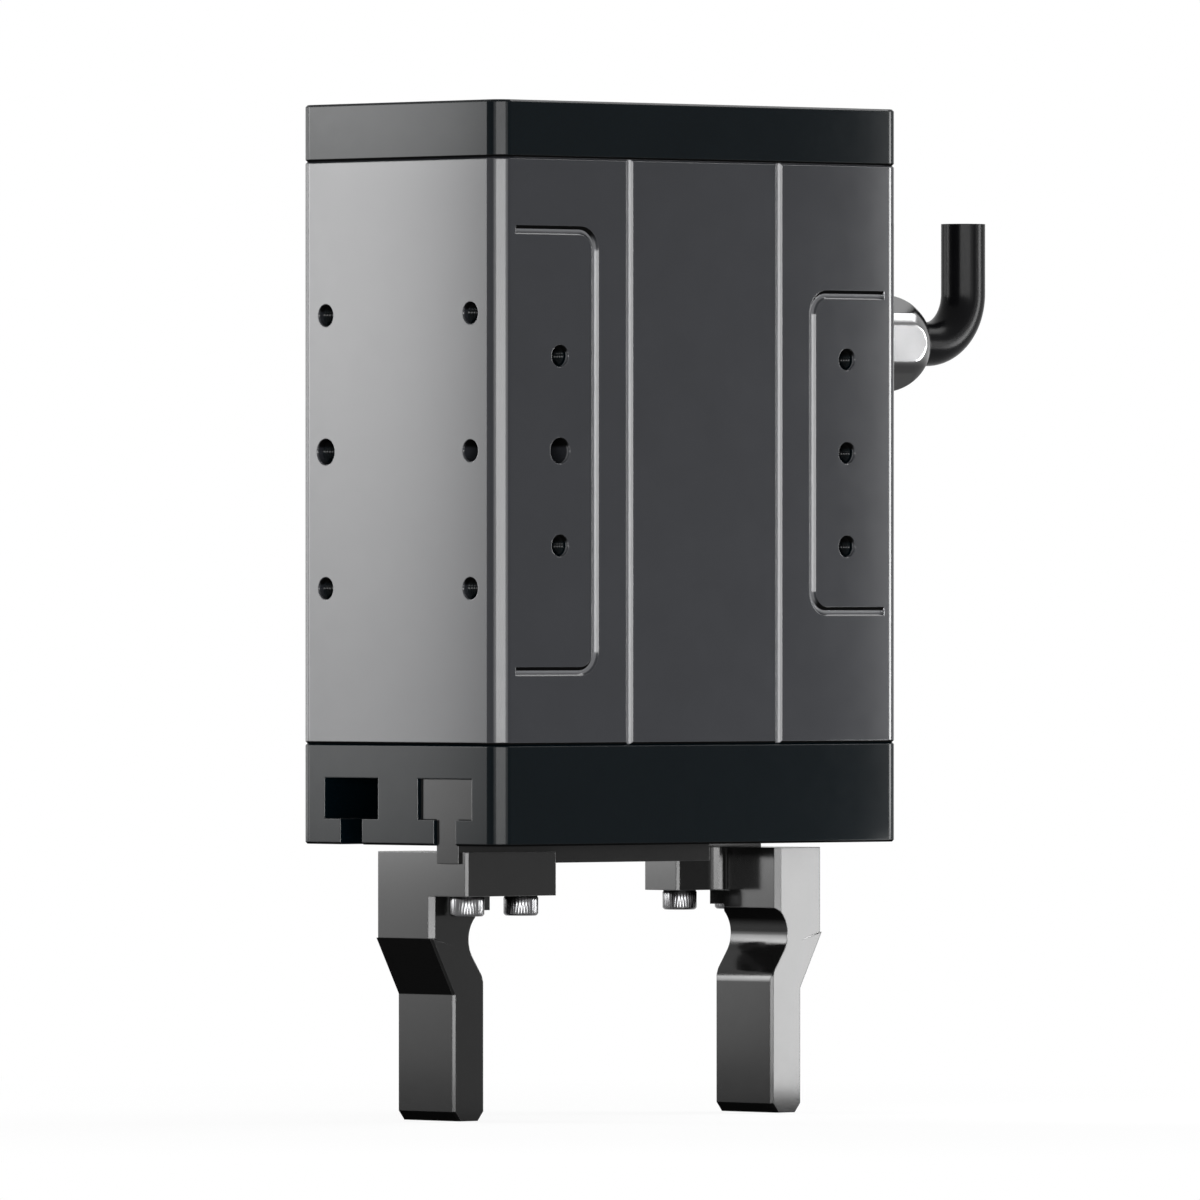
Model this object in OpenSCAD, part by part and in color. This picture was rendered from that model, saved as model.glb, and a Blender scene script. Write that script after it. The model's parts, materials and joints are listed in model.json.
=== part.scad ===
// Electric parallel gripper with two fingers.
// A motor turns a drive gear, its pinion moves two opposed racks, and each rack carries a finger.
// X runs along the jaw travel, Y across it, and the origin is the middle of the underside.

/* [Body] */
// Width of the body along the jaw travel
body_w = 110; // [108:1:116]
// Depth of the body across the jaw travel
body_d = 60; // [58:0.5:66]
// Height of the base block
base_h = 20.2; // [19.6:0.1:24]
// Height of the main housing
housing_h = 116.9; // [112:0.1:140]
// Height of the top cap
cap_h = 11.4; // [10:0.1:16]
// Radius of the four upright corners
corner_r = 3.4; // [2:0.1:5]
// Chamfer round the ends of each body section
edge_c = 0.4; // [0.2:0.1:0.8]
// Width of the cavity that holds the drive
cavity_w = 86; // [84:1:88]
// Depth of the cavity that holds the drive
cavity_d = 44; // [43:0.5:46]
// Corner radius of the cavity
cavity_r = 4; // [2:0.5:6]

/* [Face pattern] */
// Height of the middle of every face pattern
pattern_z = 78.7; // [76:0.1:82]
// Offset of the wide face pattern towards the cable side
pattern_shift = 0.8; // [0:0.1:2]
// Half the distance between the two full height grooves
groove_x = 20.4; // [18:0.1:24]
// Half the distance between the upright parts of the two edge grooves
frame_x = 29.7; // [27:0.1:32]
// Height of the edge groove on the side away from the cable
frame_tall_h = 87.9; // [80:0.1:96]
// Height of the edge groove on the cable side
frame_low_h = 64; // [56:0.1:72]
// Gap between the edge grooves' open ends and the body's side
frame_gap = 4.7; // [4:0.1:8]
// Bend radius of the edge grooves
frame_r = 4; // [3:0.1:6]
// Width of a decorative groove
groove_w = 1.8; // [1:0.1:2.4]
// Depth of a decorative groove
groove_depth = 0.6; // [0.4:0.1:1.2]
// Width of the grooves' flat floor, between their sloping sides
groove_floor = 0.4; // [0.2:0.1:0.8]

/* [Mounting holes] */
// Half the distance between the hole columns on the wide face
wide_hole_x = 39.2; // [37:0.1:41]
// Distance between the hole rows on the wide face
wide_pitch = 18.9; // [16:0.1:22]
// Half the distance between the hole columns on the narrow face
narrow_hole_y = 21.7; // [20:0.1:23]
// Distance between the hole rows on the narrow face
narrow_pitch = 27.4; // [24:0.1:30]
// Diameter of a tapped M4 hole
tapped_d = 4.2; // [3.3:0.1:4.4]
// Diameter of a dowel hole
dowel_d = 5; // [4:0.1:6]
// Depth of the holes in the wide face
wide_hole_depth = 6.5; // [5:0.5:7]
// Depth of the holes in the narrow face
narrow_hole_depth = 9; // [6:0.5:10]
// Countersink at the mouth of each mounting hole
mouth_c = 0.2; // [0.1:0.05:0.4]

/* [Jaw guide] */
// Distance from the middle to each slot's middle
slot_y = 14; // [13.9:0.05:14.1]
// Width of the slider's head
head_w = 16; // [15.8:0.05:16.2]
// Height of the slider's head
head_h = 8.1; // [7.8:0.1:8.4]
// Height of the underside of the slot's head
head_z = 5.1; // [4.8:0.1:5.4]
// Width of the slider's stem
stem_w = 6.4; // [6:0.1:7]
// How far the stem stands out below the body
stem_out = 3.6; // [2.8:0.1:4]
// Running clearance on every side of a slider
slide_gap = 0.1; // [0.05:0.01:0.15]
// Distance from the middle to the fingers' outer faces when open
jaw_out = 53.6; // [52.5:0.1:53.8]
// How far a slider stands out past its finger's outer face
slider_proud = 0.6; // [0.2:0.1:0.8]
// Length of a slider
slider_l = 68.2; // [66:0.1:68.8]
// Travel of one jaw from open to closed
jaw_travel = 38; // [30:0.5:38]

/* [Drive] */
// Module of the racks and their pinion
rack_module = 1; // [1:0.01:1]
// Teeth of the pinion between the racks
pinion_teeth = 14; // [14:2:14]
// Module of the reduction gears
gear_module = 0.8; // [0.8:0.01:0.8]
// Teeth of the motor pinion
motor_teeth = 12; // [12:2:12]
// Teeth of the drive gear
gear_teeth = 48; // [48:2:48]
// Pressure angle of every tooth
pressure_angle = 25; // [24:0.5:26]
// Play between meshing flanks at the pitch line
backlash = 0.12; // [0.08:0.01:0.2]
// Diameter of the motor
motor_d = 36; // [33:0.5:36]
// Length of the motor's can between its flange and its end cap
can_h = 46; // [42:0.5:50]

/* [Fingers] */
// Width of a finger across the jaw travel
finger_w = 17; // [15:0.5:18]
// Thickness of the upper arm
arm_t = 12.8; // [12:0.1:13.2]
// Thickness of the fingertip
tip_t = 8.4; // [7:0.1:9]
// Distance from the outer face of the arm to the outer face of the tip
tip_step = 6; // [5:0.1:6.4]
// Gap between the body and the top of a finger
finger_gap = 1.3; // [1:0.1:2]
// Thickness of the flange under the slider
flange_t = 8.8; // [8:0.1:9.4]
// Length of the flange along the jaw travel
flange_l = 24.5; // [23:0.1:26]
// Distance from the middle to the flange's far side
flange_y = 19; // [18.6:0.1:19.5]
// Width of the flange
flange_w = 10.3; // [10:0.1:10.4]
// Height of the fingertip's end below the body
tip_z = 55.2; // [50:0.1:60]
// Chamfer along the upper arm's upright edges
finger_c = 1; // [0.5:0.1:1.2]
// Chamfer along the edges of the slope and the tip
tip_edge_c = 0.5; // [0.3:0.1:0.9]
// Chamfer at the end of a fingertip
tip_c = 1.9; // [1.2:0.1:2.4]

/* [Cable outlet] */
// Height of the cable gland
gland_z = 101.6; // [98:0.1:106]
// Width across the flats of the gland nut
gland_af = 17.4; // [16.5:0.1:18.5]
// Distance from the body's side to the mouth of the gland
gland_out = 35; // [33:0.5:38]
// Diameter of the cable
cable_d = 9.1; // [8:0.1:9.2]
// Bend radius of the cable's middle line
cable_bend_r = 10.5; // [9:0.1:14]
// Length of the cable's upright end
cable_up = 14.3; // [10:0.1:30]

/* [Hidden] */
$fn = 64;
over = 1;

// Heights of the body's sections
housing_z = base_h;
cap_z = base_h + housing_h;

// Screws, as M3 and M4 socket head cap screws
m3_d = 3;
m3_tapped_d = 3.1;
m3_clear_d = 3.4;
m3_head_d = 5.5;
m3_head_h = 3;
m3_bore_d = 5.8;
m3_bore_depth = 3.3;
m3_socket = 2.5;
m4_d = 4;
m4_head_d = 7;
m4_head_h = 4;
m4_socket = 3;
screw_gap = 0.05;

// Places of the screws that hold the base block and the cap
end_screw_x = body_w / 2 - 6;
base_screw_y = body_d / 2 - 3.9;
cap_screw_y = body_d / 2 - 5;
base_screw_l = 27;
cap_screw_l = 16;
thread_depth = 11;

// Cap
cap_pocket_h = 6;
gasket_w = 1.5;
gasket_h = 1.2;
gasket_inset = 2;

// T slots: the space round each slider
slot_head_w = head_w + 2 * slide_gap;
slot_head_h = head_h + 2 * slide_gap;
slot_stem_w = stem_w + 2 * slide_gap;

// Rack and pinion
pinion_r = rack_module * pinion_teeth / 2;
rack_pitch = PI * rack_module;
addendum = 1;
dedendum = 1.25;
rack_spaces_closing = ceil((jaw_travel + 6) / rack_pitch);
rack_spaces_opening = 2;
pinion_bore_d = 2 * (pinion_r + rack_module) + 0.6;
head_y = pinion_r - addendum * rack_module + head_w / 2;
pinion_face_gap = 0.2;
bush_z = 0.9;
bush_d = 8;
bush_bore_d = 5;
journal_gap = 0.03;

// Bearings, each as [bore, outside diameter, width, balls]. The pinion passes the base bearing's seat.
BASE_BEARING = [10, ceil(pinion_bore_d) + 2, 5, 9];
PLATE_BEARING = [8, 16, 5, 8];
MOTOR_BEARING = [5, 13, 4, 7];
race_share = 0.31;
ball_share = 0.29;
ball_gap = 0.04;

// Gear stage
gear_r = gear_module * gear_teeth / 2;
motor_pinion_r = gear_module * motor_teeth / 2;
motor_x = -(gear_r + motor_pinion_r);
gear_z = base_h + 2;
gear_w = 6;
collar_d = 12;
clip_h = 0.8;

// Gear plate on its four pillars
plate_z = base_h + 11.8;
plate_h = 8;
plate_gap = 0.3;
pillar_x = 38;
pillar_y = 17;
pillar_d = 8;
plate_screw_depth = 5;

// Motor, standing on the gear plate
flange_z = plate_z + plate_h;
motor_flange_h = 4;
can_z = flange_z + motor_flange_h;
end_cap_z = can_z + can_h;
end_cap_h = 8;
end_cap_rim = 2;
can_wall = 1.2;
pilot_d = 22;
pilot_h = 2;
motor_bolt_r = 14;
motor_screw_l = 8;
stator_z = can_z + 9;
stator_h = can_h - 18;
stator_d = 22;
winding_h = 4.5;
magnet_d = 21;
encoder_h = 2.5;
board_t = 1.6;

// Control board, upright beside the motor
board_x = 19;
board_w = 38;
board_z = 88;
board_h = 84;
board_y = 10.4;
standoff_d = 5;
standoff_x = 15.5;
standoff_z = 38;
stud_l = 4;
terminal_w = 12;
terminal_h = 15;
terminal_x = 26;
lead_z = end_cap_z + 4;

// Cable gland
gland_thread_d = 16;
gland_wall_gap = 0.1;
gland_flange_h = 5;
gland_flange_af = 19;
gland_barrel_d = 14.4;
gland_barrel_l = 16;
gland_bore_d = cable_d + 0.6;
gland_nut_x = body_w / 2 + 8;
gland_mouth_x = body_w / 2 + gland_out;
gland_dome_r = gland_af / 2 / cos(30) + 0.2;
gland_seal_l = 9;
gland_lip = 4;
locknut_h = 4;
locknut_af = 20;
core_d = 1.7;
core_ring_r = 2.6;
core_count = 6;
cable_start_x = cavity_w / 2 - 6;

// Finger, measured from the jaw's outer face towards the other finger
finger_top = -finger_gap;
flange_bottom = finger_top - flange_t;
tip_out = tip_step;
tip_in = tip_out + tip_t;
outer_slope_z = [-18.6, -29.9];
inner_slope_z = -22;
relief_r = 6.4;
relief_depth = 2.8;
relief_z = -18.9;
relief_lean = 34;
relief_axis = [arm_t - relief_depth + relief_r, relief_z];
relief_end = relief_axis - relief_r * [cos(relief_lean), sin(relief_lean)];
bend = [tip_in, relief_end[1] - (tip_in - relief_end[0]) / tan(relief_lean)];
bend_r = 4;
bend_axis = [tip_in - bend_r, bend[1] - bend_r * tan(relief_lean / 2)];
root_r = 3.3;
rib_l = 3.4;
rib_w = 3.2;
rib_h = 2.9;
flange_c = 0.5;
flange_gap = 0.2;
flange_out = max(flange_y, finger_w / 2 + flange_gap + flange_w);
finger_screw_x = [4.6, 19.1];
finger_screw_l = 16;

// ---------- Shared shapes ----------

module rounded_rect(w, d, r) {
    square([w - 2 * r, d], center = true);
    square([w, d - 2 * r], center = true);
    for (x = [-1, 1], y = [-1, 1])
        translate([x * (w / 2 - r), y * (d / 2 - r)]) circle(r = r);
}

// A layer of height c whose walls lean in by c
module chamfer_layer(w, d, r, c) {
    for (x = [-1, 1], y = [-1, 1])
        translate([x * (w / 2 - r), y * (d / 2 - r), 0]) cylinder(h = c, r1 = r, r2 = r - c);
    rotate([90, 0, 0])
        linear_extrude(d - 2 * r, center = true)
            polygon([[-w / 2, 0], [w / 2, 0], [w / 2 - c, c], [c - w / 2, c]]);
    rotate([90, 0, 90])
        linear_extrude(w - 2 * r, center = true)
            polygon([[-d / 2, 0], [d / 2, 0], [d / 2 - c, c], [c - d / 2, c]]);
}

// An upright block of the body with chamfered ends
module body_block(h) {
    translate([0, 0, edge_c]) linear_extrude(h - 2 * edge_c) rounded_rect(body_w, body_d, corner_r);
    translate([0, 0, h - edge_c]) chamfer_layer(body_w, body_d, corner_r, edge_c);
    translate([0, 0, edge_c]) mirror([0, 0, 1]) chamfer_layer(body_w, body_d, corner_r, edge_c);
}

// Four places, mirrored in X and Y
module four(x, y) {
    for (i = [-1, 1], j = [-1, 1]) translate([i * x, j * y, 0]) children();
}

module bore(d, z, h) {
    translate([0, 0, z]) cylinder(d = d, h = h);
}

module tube(d_out, d_in, z, h) {
    difference() {
        bore(d_out, z, h);
        bore(d_in, z - over, h + 2 * over);
    }
}

// Turns +Z to +X
module along_x() {
    rotate([0, 90, 0]) children();
}

// A hexagon with flats facing Y once it is turned along X
module hex_x(af, z, h) {
    translate([0, 0, z]) cylinder(d = af / cos(30), h = h, $fn = 6);
}

// A socket head cap screw with its shank down from z = 0 and its head above
module cap_screw(d, l, head_d, head_h, socket) {
    difference() {
        union() {
            bore(d, -l, l + over / 2);
            bore(head_d, 0, head_h - 0.3);
            translate([0, 0, head_h - 0.3]) cylinder(d1 = head_d, d2 = head_d - 0.6, h = 0.3);
        }
        translate([0, 0, head_h / 2]) cylinder(d = socket / cos(30), h = head_h, $fn = 6);
    }
}

module m3_screw(l) {
    cap_screw(m3_d, l, m3_head_d, m3_head_h, m3_socket);
}

// ---------- Gear teeth ----------

function roll_angle(r, base_r) = tan(acos(base_r / r)) * 180 / PI - acos(base_r / r);

// Half the angle that a tooth takes at radius r
function tooth_half(r, pitch_r, base_r, teeth) =
    90 / teeth - backlash / 2 / pitch_r * 90 / PI
    + roll_angle(pitch_r, base_r) - roll_angle(max(r, base_r), base_r);

module gear_shape(m, teeth, phase) {
    pitch_r = m * teeth / 2;
    base_r = pitch_r * cos(pressure_angle);
    root_r = pitch_r - dedendum * m;
    low_r = max(root_r, base_r);
    tip_r = pitch_r + addendum * m;
    steps = 4;
    flank = concat(
        [[root_r, tooth_half(low_r, pitch_r, base_r, teeth)]],
        [for (i = [root_r < low_r ? 0 : 1 : steps])
            let (r = low_r + (tip_r - low_r) * i / steps)
            [r, tooth_half(r, pitch_r, base_r, teeth)]]
    );
    last = len(flank) - 1;
    polygon([
        for (t = [0 : teeth - 1])
            let (a = phase + t * 360 / teeth)
            each concat(
                [for (i = [0 : last]) flank[i][0] * [cos(a - flank[i][1]), sin(a - flank[i][1])]],
                [for (i = [last : -1 : 0]) flank[i][0] * [cos(a + flank[i][1]), sin(a + flank[i][1])]]
            )
    ]);
}

// The spaces between a rack's teeth, cut down into -Y from the line Y = addendum
module rack_spaces(from, to) {
    lean = tan(pressure_angle);
    half = (rack_pitch / 2 + backlash / 2) / 2;
    top = addendum * rack_module + 0.4;
    low = dedendum * rack_module;
    for (k = [from : to])
        translate([k * rack_pitch, 0])
            polygon([
                [-half - top * lean, top], [half + top * lean, top],
                [half - low * lean, -low], [-half + low * lean, -low]
            ]);
}

// ---------- Ball bearings ----------

function race_t(b) = (b[1] - b[0]) / 2 * race_share;
function ball_r(b) = (b[1] - b[0]) / 2 * ball_share;
function ball_ring_r(b) = (b[0] + b[1]) / 4;

module ball_track(b) {
    translate([0, 0, b[2] / 2])
        rotate_extrude()
            translate([ball_ring_r(b), 0]) circle(r = ball_r(b) + ball_gap);
}

module outer_race(b) {
    difference() {
        tube(b[1], b[1] - 2 * race_t(b), 0, b[2]);
        ball_track(b);
    }
}

module inner_race(b) {
    difference() {
        tube(b[0] + 2 * race_t(b), b[0] + 2 * screw_gap, 0, b[2]);
        ball_track(b);
    }
}

module race_balls(b) {
    for (i = [0 : b[3] - 1])
        rotate([0, 0, i * 360 / b[3]])
            translate([ball_ring_r(b), 0, b[2] / 2]) sphere(r = ball_r(b));
}

// ---------- Body ----------

// A hole from a face into the body along -Z, with a small countersink
module face_hole(d, depth) {
    bore(d, -depth, depth + over);
    translate([0, 0, -mouth_c]) cylinder(d1 = d, d2 = d + 2 * (mouth_c + over), h = mouth_c + over);
}

module on_front() {
    translate([0, -body_d / 2, 0]) rotate([90, 0, 0]) children();
}

module on_side(side) {
    translate([side * body_w / 2, 0, 0]) rotate([0, side * 90, 0]) children();
}

// The section that the groove cutter leaves, wide at the face and narrow at the floor
module groove_section() {
    above = over * (groove_w - groove_floor) / 2 / groove_depth;
    polygon([
        [-groove_w / 2 - above, over], [-groove_floor / 2, -groove_depth],
        [groove_floor / 2, -groove_depth], [groove_w / 2 + above, over]
    ]);
}

module groove_run(l) {
    rotate([90, 0, 0]) linear_extrude(l, center = true) groove_section();
}

// A groove that runs in from the side at the top, down, and out to the side again
module edge_groove(x, end_x, h) {
    side = sign(end_x - x);
    run = abs(end_x - x) - frame_r;
    for (v = [-1, 1]) {
        translate([x + side * frame_r, v * (h / 2 - frame_r), 0])
            rotate([0, 0, side > 0 ? (v > 0 ? 90 : 180) : (v > 0 ? 0 : 270)])
                rotate_extrude(angle = 90) translate([frame_r, 0]) groove_section();
        translate([end_x - side * run / 2, v * h / 2, 0]) rotate([0, 0, 90]) groove_run(run);
    }
    translate([x, 0, 0]) groove_run(h - 2 * frame_r);
}

module face_grooves() {
    on_front() {
        for (i = [-1, 1])
            translate([pattern_shift + i * groove_x, housing_z + housing_h / 2, 0]) groove_run(housing_h + 2 * over);
        translate([0, pattern_z, 0]) {
            edge_groove(pattern_shift - frame_x, frame_gap - body_w / 2, frame_tall_h);
            edge_groove(pattern_shift + frame_x, body_w / 2 - frame_gap, frame_low_h);
        }
    }
}

module wide_holes() {
    on_front()
        for (i = [-1, 1], row = [-1 : 1])
            translate([pattern_shift + i * wide_hole_x, pattern_z + row * wide_pitch, 0])
                face_hole(i < 0 && row == 0 ? dowel_d : tapped_d, wide_hole_depth);
}

module narrow_holes(side) {
    on_side(side)
        for (i = [-1, 1], row = [-1 : 1])
            translate([-side * (pattern_z + row * narrow_pitch), i * narrow_hole_y, 0])
                face_hole(i > 0 && row == 0 ? dowel_d : tapped_d, narrow_hole_depth);
}

module main_housing() {
    color("#6e7072")
        difference() {
            translate([0, 0, housing_z]) body_block(housing_h);
            translate([0, 0, housing_z - over])
                linear_extrude(housing_h + 2 * over) rounded_rect(cavity_w, cavity_d, cavity_r);
            face_grooves();
            wide_holes();
            narrow_holes(-1);
            narrow_holes(1);
            four(end_screw_x, base_screw_y) bore(m3_tapped_d, housing_z - over, thread_depth + over);
            four(end_screw_x, cap_screw_y) bore(m3_tapped_d, cap_z - thread_depth, thread_depth + over);
            translate([0, 0, gland_z]) along_x() bore(gland_thread_d + 2 * gland_wall_gap, 0, body_w);
            board_fixings() bore(m3_tapped_d, -stud_l - 0.5, stud_l + 0.5 + over);
        }
}

module gasket_shape() {
    inner = gasket_inset * 2;
    outer = inner + gasket_w * 2;
    difference() {
        rounded_rect(cavity_w + outer, cavity_d + outer, cavity_r + outer / 2);
        rounded_rect(cavity_w + inner, cavity_d + inner, cavity_r + inner / 2);
    }
}

module top_cap() {
    color("#2b2f31")
        difference() {
            translate([0, 0, cap_z]) body_block(cap_h);
            translate([0, 0, cap_z - over])
                linear_extrude(cap_pocket_h + over) rounded_rect(cavity_w, cavity_d, cavity_r);
            translate([0, 0, cap_z - over]) linear_extrude(gasket_h + over) gasket_shape();
            four(end_screw_x, cap_screw_y) {
                bore(m3_clear_d, cap_z - over, cap_h + 2 * over);
                bore(m3_bore_d, cap_z + cap_h - m3_bore_depth, m3_bore_depth + over);
            }
        }
}

module cap_gasket() {
    color("#1a1a1a") translate([0, 0, cap_z]) linear_extrude(gasket_h) gasket_shape();
}

module cap_screws() {
    color("#c8cacc")
        four(end_screw_x, cap_screw_y)
            translate([0, 0, cap_z + cap_h - m3_bore_depth]) m3_screw(cap_screw_l);
}

module t_slot(side) {
    translate([-body_w / 2 - over, side * head_y - slot_head_w / 2, head_z])
        cube([body_w + 2 * over, slot_head_w, slot_head_h]);
    translate([-body_w / 2 - over, side * slot_y - slot_stem_w / 2, -over])
        cube([body_w + 2 * over, slot_stem_w, head_z + 2 * over]);
}

module base_block() {
    color("#26292b")
        difference() {
            body_block(base_h);
            t_slot(-1);
            t_slot(1);
            bore(pinion_bore_d, head_z, base_h);
            bore(BASE_BEARING[1], base_h - BASE_BEARING[2], BASE_BEARING[2] + over);
            bore(bush_d, bush_z, head_z);
            four(end_screw_x, base_screw_y) {
                bore(m3_clear_d, -over, base_h + 2 * over);
                bore(m3_bore_d, -over, m3_bore_depth + over);
            }
            four(pillar_x, pillar_y) bore(m3_tapped_d, base_h - plate_screw_depth - 0.5, plate_screw_depth + over);
        }
}

module base_screws() {
    color("#c8cacc")
        four(end_screw_x, base_screw_y)
            translate([0, 0, m3_bore_depth]) mirror([0, 0, 1]) m3_screw(base_screw_l);
}

// ---------- Jaws ----------

// The left jaw rides in the front slot, and the right jaw is the same one turned half round.
module turned() {
    rotate([0, 0, 180]) children();
}

module finger_screw_places() {
    for (x = finger_screw_x) translate([x - jaw_out, -slot_y, 0]) children();
}

module slider() {
    slider_x = -jaw_out - slider_proud;
    difference() {
        union() {
            translate([slider_x, -head_y - head_w / 2, head_z + slide_gap]) cube([slider_l, head_w, head_h]);
            translate([slider_x, -slot_y - stem_w / 2, -stem_out]) cube([slider_l, stem_w, stem_out + head_z + over]);
        }
        translate([0, -pinion_r, head_z])
            linear_extrude(slot_head_h + over) rack_spaces(-rack_spaces_closing, rack_spaces_opening);
        finger_screw_places()
            bore(m4_d + 2 * screw_gap, -stem_out - over, stem_out + over + flange_bottom + finger_screw_l + 0.5);
    }
}

// Part of an arm between an outer and an inner line, with chamfered long edges.
// outer and inner are points [distance from the jaw's outer face, height], from the top down.
module arm_part(outer, inner, edge) {
    hull()
        for (c = [0, edge])
            rotate([90, 0, 0])
                linear_extrude(finger_w - 2 * (edge - c), center = true)
                    polygon(concat(
                        [for (p = outer) [p[0] + c - jaw_out, p[1]]],
                        [for (i = [len(inner) - 1 : -1 : 0]) [inner[i][0] - c - jaw_out, inner[i][1]]]
                    ));
}

module flange() {
    y0 = -flange_out;
    x0 = -jaw_out;
    for (c = [0, 1])
        translate([x0 + c * flange_c, y0 + (1 - c) * flange_c, flange_bottom])
            cube([flange_l - 2 * c * flange_c, flange_w - 2 * (1 - c) * flange_c, flange_t]);
    four_flange_corners(x0, y0);
}

// The four upright edges of the flange, each a square set on its corner
module four_flange_corners(x0, y0) {
    for (i = [0, 1], j = [0, 1])
        translate([
            x0 + flange_c + i * (flange_l - 2 * flange_c),
            y0 + flange_c + j * (flange_w - 2 * flange_c),
            flange_bottom
        ])
            cylinder(r = flange_c, h = flange_t, $fn = 4);
}

module finger() {
    difference() {
        union() {
            arm_part(
                [[0, finger_top], [0, outer_slope_z[0]]],
                [[arm_t, finger_top], [arm_t, inner_slope_z]],
                finger_c
            );
            arm_part(
                [[0, outer_slope_z[0]], [tip_out, outer_slope_z[1]]],
                [[arm_t, inner_slope_z], bend],
                tip_edge_c
            );
            arm_part(
                [[tip_out, outer_slope_z[1]], [tip_out, tip_c - tip_z], [tip_out + tip_c * 0.8, -tip_z]],
                [bend, [tip_in, tip_c - tip_z], [tip_in - tip_c * 0.8, -tip_z]],
                tip_edge_c
            );
            flange();
            flange_web();
            root_fillet();
            root_rib();
        }
        relief();
        bend_round();
        translate([-jaw_out - over, -slot_y - slot_stem_w / 2, -stem_out])
            cube([flange_l + 2 * over, slot_stem_w, stem_out]);
        finger_screw_places() bore(m4_d + 2 * slide_gap, flange_bottom - over, flange_t + 2 * over);
    }
}

// A prism across the finger. Its points are [distance from the jaw's outer face, height].
module across_finger(points) {
    translate([-jaw_out, 0, 0]) rotate([90, 0, 0]) linear_extrude(body_d, center = true) polygon(points);
}

// A round bar across the finger
module round_across(at, r, extra = 0) {
    translate([at[0] - jaw_out, 0, at[1]])
        rotate([90, 0, 0]) cylinder(r = r, h = body_d + extra, center = true);
}

// The hollow in the arm's inner face, and the flat that runs on from it down to the tip
module relief() {
    beyond = tip_in + bend_r;
    round_across(relief_axis, relief_r);
    across_finger([relief_axis, relief_end, bend, [beyond, bend[1]], [beyond, relief_z]]);
}

// What is taken off the bend between that flat and the tip
module bend_round() {
    lean = [cos(relief_lean), sin(relief_lean)];
    difference() {
        across_finger([bend_axis, bend_axis + (bend_r + 1) * lean, bend + lean, bend_axis + [bend_r + 1, 0]]);
        round_across(bend_axis, bend_r, 2 * over);
    }
}

// The web that joins the flange to the arm, flush with the arm's outer face
module flange_web() {
    from = -finger_w / 2 - flange_gap - flange_c - over;
    to = -finger_w / 2 + finger_c + over;
    translate([-jaw_out, from, flange_bottom]) cube([arm_t, to - from, flange_t]);
}

// The hollow corner between the flange and the arm's inner face
module root_fillet() {
    corner = [arm_t - jaw_out, flange_w - flange_out];
    translate([corner[0], corner[1], flange_bottom])
        difference() {
            translate([-over, -over, 0]) cube([root_r + over, root_r + over, flange_t]);
            translate([root_r, root_r, -over]) cylinder(r = root_r, h = flange_t + 2 * over);
        }
}

// The short rib that stiffens the arm under the flange
module root_rib() {
    translate([arm_t - rib_l - jaw_out, -finger_w / 2 - rib_w, flange_bottom - rib_h])
        cube([rib_l, rib_w + finger_c + over, rib_h + over]);
}

module finger_screws() {
    finger_screw_places()
        translate([0, 0, flange_bottom])
            mirror([0, 0, 1]) cap_screw(m4_d, finger_screw_l, m4_head_d, m4_head_h, m4_socket);
}

module left_slider() { color("#5f5f5f") slider(); }
module left_finger() { color("#3a3a3b") finger(); }
module left_finger_screws() { color("#c8cacc") finger_screws(); }
module right_slider() { color("#5f5f5f") turned() slider(); }
module right_finger() { color("#3a3a3b") turned() finger(); }
module right_finger_screws() { color("#c8cacc") turned() finger_screws(); }

// ---------- Drive ----------

module rack_pinion() {
    tooth_h = slot_head_h - 2 * pinion_face_gap;
    tooth_z = head_z + pinion_face_gap;
    bearing_z = base_h - BASE_BEARING[2];
    color("#a8aaac") {
        translate([0, 0, tooth_z]) linear_extrude(tooth_h) gear_shape(rack_module, pinion_teeth, 90);
        bore(bush_bore_d - 2 * journal_gap, bush_z + 0.3, tooth_z - bush_z);
        bore(collar_d, tooth_z + tooth_h, bearing_z - tooth_z - tooth_h);
        bore(BASE_BEARING[0], bearing_z - over, plate_z - bearing_z + over);
        bore(PLATE_BEARING[0], plate_z - over, PLATE_BEARING[2] + 2 + over);
    }
}

module pinion_bush() {
    color("#b08d57") tube(bush_d, bush_bore_d, bush_z, head_z - bush_z);
}

module drive_gear() {
    color("#b9bbbd")
        difference() {
            union() {
                translate([0, 0, gear_z]) linear_extrude(gear_w) gear_shape(gear_module, gear_teeth, 0);
                bore(collar_d, base_h, plate_z - base_h);
            }
            bore(BASE_BEARING[0] + 2 * screw_gap, base_h - over, plate_z);
            for (i = [0 : 5]) rotate([0, 0, 30 + i * 60]) translate([12, 0, 0]) bore(5.5, gear_z - over, gear_w + 2 * over);
        }
}

module drive_gear_clip() {
    color("#707274") tube(PLATE_BEARING[0] + 2.6, PLATE_BEARING[0] + 2 * screw_gap, plate_z + PLATE_BEARING[2], clip_h);
}

module at_base_bearing() { translate([0, 0, base_h - BASE_BEARING[2]]) children(); }
module at_plate_bearing() { translate([0, 0, plate_z]) children(); }
module base_bearing_outer() { color("#9fa1a3") at_base_bearing() outer_race(BASE_BEARING); }
module base_bearing_inner() { color("#9fa1a3") at_base_bearing() inner_race(BASE_BEARING); }
module base_bearing_balls() { color("#e0e2e4") at_base_bearing() race_balls(BASE_BEARING); }
module plate_bearing_outer() { color("#9fa1a3") at_plate_bearing() outer_race(PLATE_BEARING); }
module plate_bearing_inner() { color("#9fa1a3") at_plate_bearing() inner_race(PLATE_BEARING); }
module plate_bearing_balls() { color("#e0e2e4") at_plate_bearing() race_balls(PLATE_BEARING); }

// The motor's four bolts, turned so that none is over the drive shaft
module motor_bolts() {
    for (i = [0 : 3]) rotate([0, 0, 45 + i * 90]) translate([motor_bolt_r, 0, 0]) children();
}

module at_motor() {
    translate([motor_x, 0, 0]) children();
}

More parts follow.
